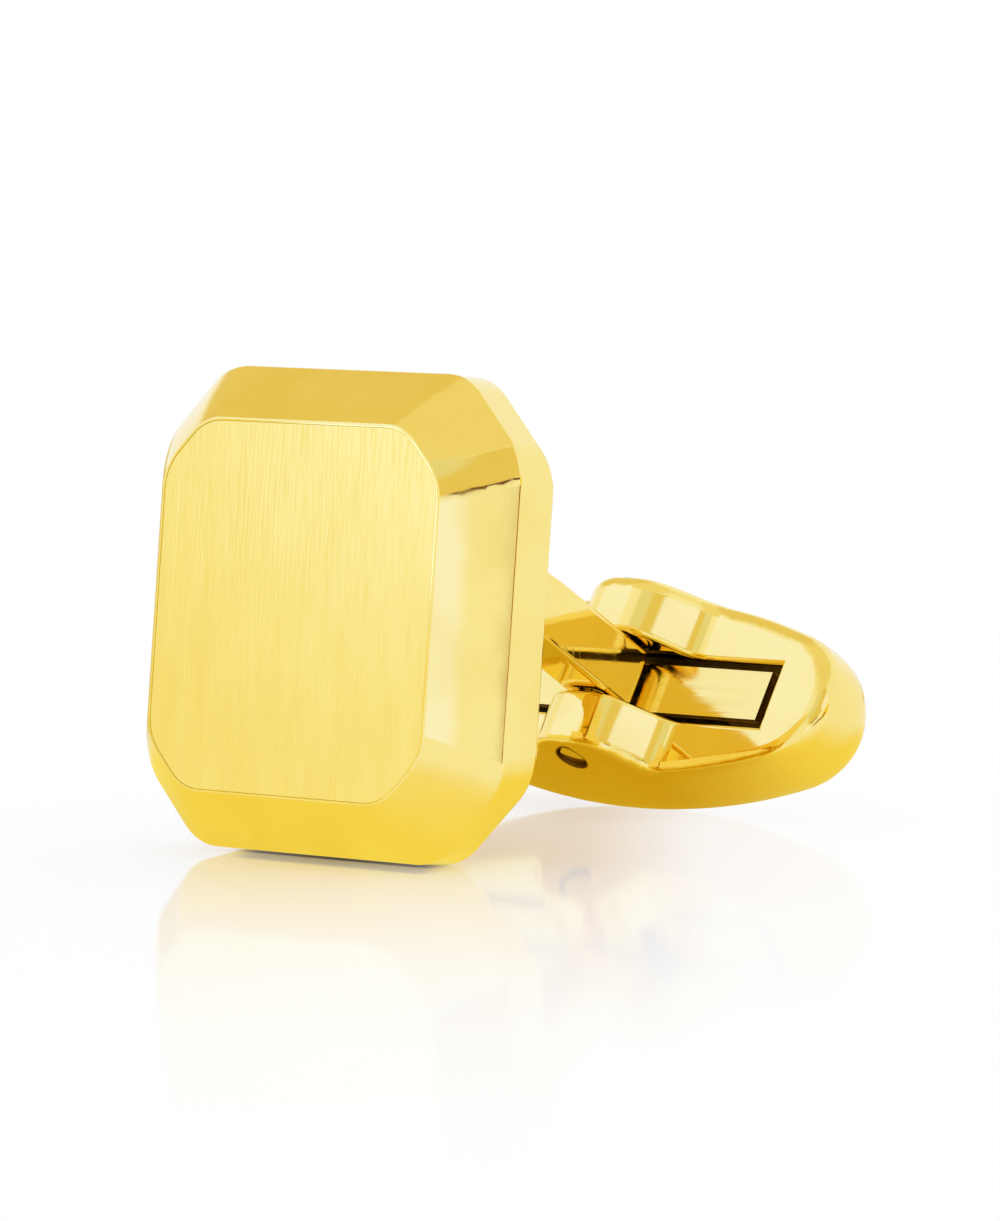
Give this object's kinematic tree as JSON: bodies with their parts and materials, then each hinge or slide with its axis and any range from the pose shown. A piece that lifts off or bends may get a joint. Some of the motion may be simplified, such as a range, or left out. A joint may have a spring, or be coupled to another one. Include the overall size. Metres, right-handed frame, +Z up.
{
  "type": "cufflink",
  "caption": "Octagonal cufflink with a polished bevelled frame, a brushed face plate and a boat-shaped toggle that swivels on a cross pin at the end of a sloping post.",
  "frame": {"origin": "middle of the cufflink's footprint on the table, as it stands on its head's lower back edge and its toggle", "axes": "+X to the wearer's right of the face, along the toggle; +Y from the face towards the toggle; +Z up from the table"},
  "size_m": [0.0168, 0.0205, 0.015],
  "materials": {
    "polished_gold": "mirror-polished pale gold plate",
    "satin_gold": "satin gold plate, brushed up and down",
    "spring_gold": "polished gold plate on spring strip"
  },
  "bodies": {
    "head": {"head_frame": "polished_gold", "face_plate": "satin_gold", "back_plate": "polished_gold", "post": "polished_gold"},
    "toggle": {"toggle_body": "polished_gold", "leaf_spring": "spring_gold", "hinge_pin": "polished_gold"}
  },
  "joints": [
    {"name": "toggle_swing", "type": "hinge", "parent": "head", "child": "toggle", "pos_m": [0, 0.00503, 0.00462], "axis": [0, 0.5482, 0.8363], "range_deg": [-88, 88]}
  ]
}
